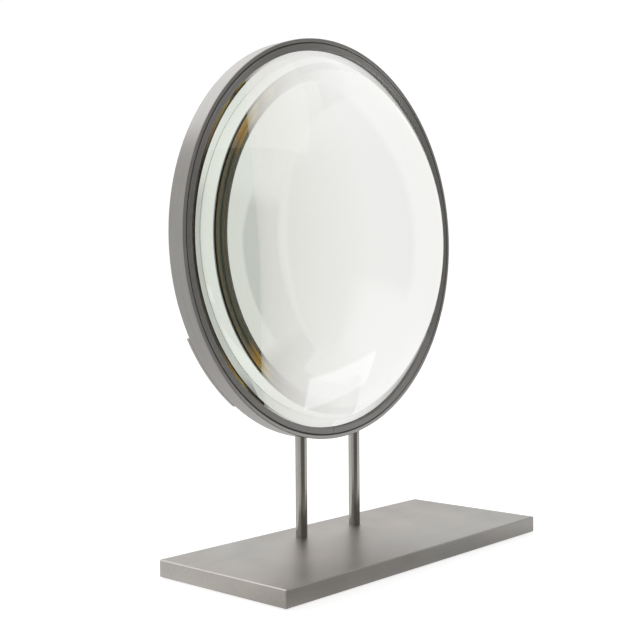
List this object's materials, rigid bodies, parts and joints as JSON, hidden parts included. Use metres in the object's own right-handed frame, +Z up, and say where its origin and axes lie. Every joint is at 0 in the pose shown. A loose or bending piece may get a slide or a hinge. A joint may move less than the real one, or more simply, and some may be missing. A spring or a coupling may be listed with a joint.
{
  "type": "magnifying lens on stand",
  "caption": "Large plano-convex magnifying lens held by split rings in a steel hoop, on two round rods and a heavy rectangular base plate.",
  "frame": {"origin": "middle of the plane that the four felt pads rest on, under the centre of the base plate", "axes": "+Z up, +X to the right along the base plate's long side, the domed face of the lens looks along -Y"},
  "size_m": [0.35, 0.14, 0.4482],
  "materials": {
    "plate_steel": "satin, fine brushed grain along the plate, clear sealed",
    "rod_steel": "satin, darkened",
    "hoop_steel": "satin, brushed round the hoop",
    "ring_steel": "satin, brushed round the ring",
    "keeper_steel": "satin",
    "screw_steel": "dark zinc",
    "optical_glass": "polished faces, pale green, ground edge",
    "dark_rubber": "matte",
    "joint_compound": "matte, dark grey",
    "packing": "dark brown, matte",
    "felt": "felt"
  },
  "bodies": {
    "root": {"base_plate": "plate_steel", "pad_front_left": "felt", "pad_front_right": "felt", "pad_rear_left": "felt", "pad_rear_right": "felt", "left_rod": "rod_steel", "right_rod": "rod_steel", "rod_base_screws": "screw_steel", "rod_hoop_screws": "screw_steel", "hoop": "hoop_steel", "front_retaining_ring": "ring_steel", "rear_retaining_ring": "ring_steel", "lens": "optical_glass", "front_washer": "dark_rubber", "joint_filler": "joint_compound", "edge_packing": "packing", "rear_gasket": "dark_rubber", "left_keeper": "keeper_steel", "right_keeper": "keeper_steel", "keeper_screws": "screw_steel"}
  },
  "joints": []
}
